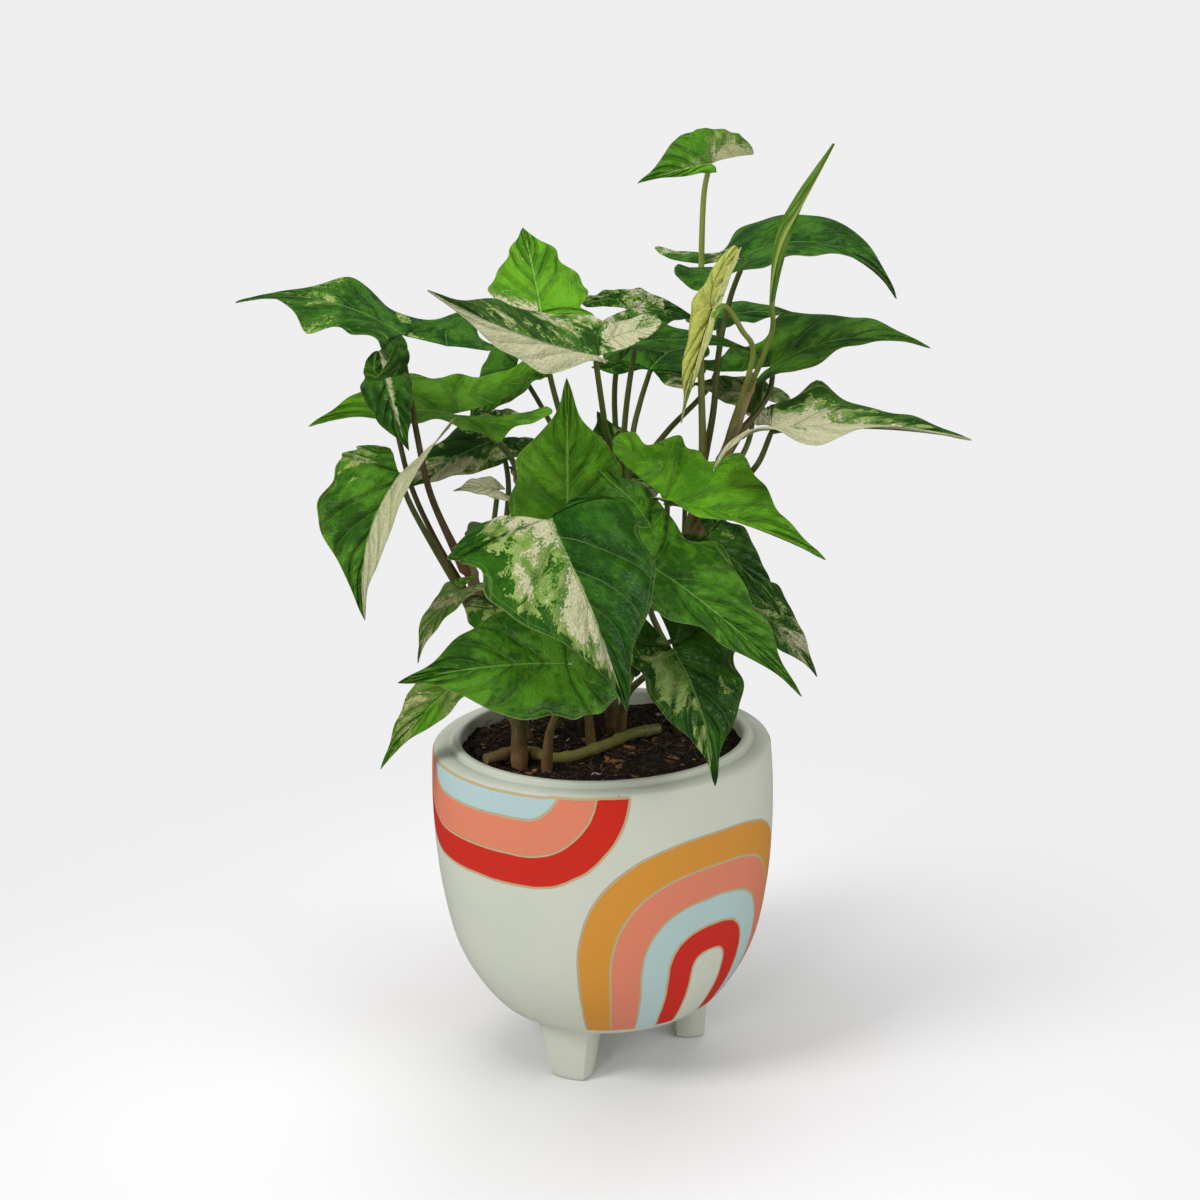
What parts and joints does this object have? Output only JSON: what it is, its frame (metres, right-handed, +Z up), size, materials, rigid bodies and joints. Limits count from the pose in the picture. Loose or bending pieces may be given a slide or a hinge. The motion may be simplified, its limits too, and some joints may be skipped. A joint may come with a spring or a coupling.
{
  "type": "potted arrowhead plant",
  "caption": "Arrowhead plant with variegated, pointed and lobed leaves on long stalks, growing in soil in a rounded matte ceramic pot on three short feet.",
  "frame": {"origin": "on the surface the pot stands on, under the middle of the pot, within a few millimetres of the bottom centre of the box", "axes": "+Z up along the pot and the plant, -Y towards the front that the picture shows, +X to the right of that front"},
  "size_m": [0.2982, 0.2146, 0.4035],
  "materials": {
    "pot": "matte glaze with coloured concentric arches",
    "soil": "matte",
    "stem": "satin",
    "leaf_dark": "satin",
    "leaf_green": "satin",
    "leaf_mottled": "satin",
    "leaf_pale": "satin"
  },
  "bodies": {
    "root": {"leaf_back_high": "leaf_green", "leaf_back_left": "leaf_green", "leaf_back_low": "leaf_green", "leaf_back_middle": "leaf_dark", "leaf_back_right": "leaf_mottled", "leaf_centre_arch": "leaf_dark", "leaf_centre_mottled": "leaf_mottled", "leaf_centre_under": "leaf_dark", "leaf_cream_fold": "leaf_pale", "leaf_cream_small": "leaf_pale", "leaf_crown": "leaf_mottled", "leaf_far_left": "leaf_dark", "leaf_front_low": "leaf_green", "leaf_front_mottled": "leaf_mottled", "leaf_front_upright": "leaf_dark", "leaf_grey_small": "leaf_mottled", "leaf_half_open": "leaf_pale", "leaf_hanging_dark": "leaf_dark", "leaf_left_arch": "leaf_mottled", "leaf_left_curl": "leaf_mottled", "leaf_left_hang": "leaf_green", "leaf_left_low": "leaf_mottled", "leaf_left_lower": "leaf_mottled", "leaf_left_mid": "leaf_green", "leaf_middle_mottled": "leaf_mottled", "leaf_middle_small": "leaf_mottled", "leaf_notch": "leaf_dark", "leaf_right_back": "leaf_mottled", "leaf_right_behind": "leaf_dark", "leaf_right_cream": "leaf_pale", "leaf_right_high": "leaf_dark", "leaf_right_low": "leaf_mottled", "leaf_right_lower": "leaf_green", "leaf_right_mid": "leaf_dark", "leaf_right_tip": "leaf_dark", "leaf_right_upper": "leaf_green", "leaf_rim_hang": "leaf_mottled", "leaf_rolled": "leaf_green", "leaf_top_centre": "leaf_green", "pot": "pot", "soil": "soil", "stem_back": "stem", "stem_creeping": "stem", "stem_left": "stem", "stem_middle": "stem", "stem_right": "stem"}
  },
  "joints": []
}
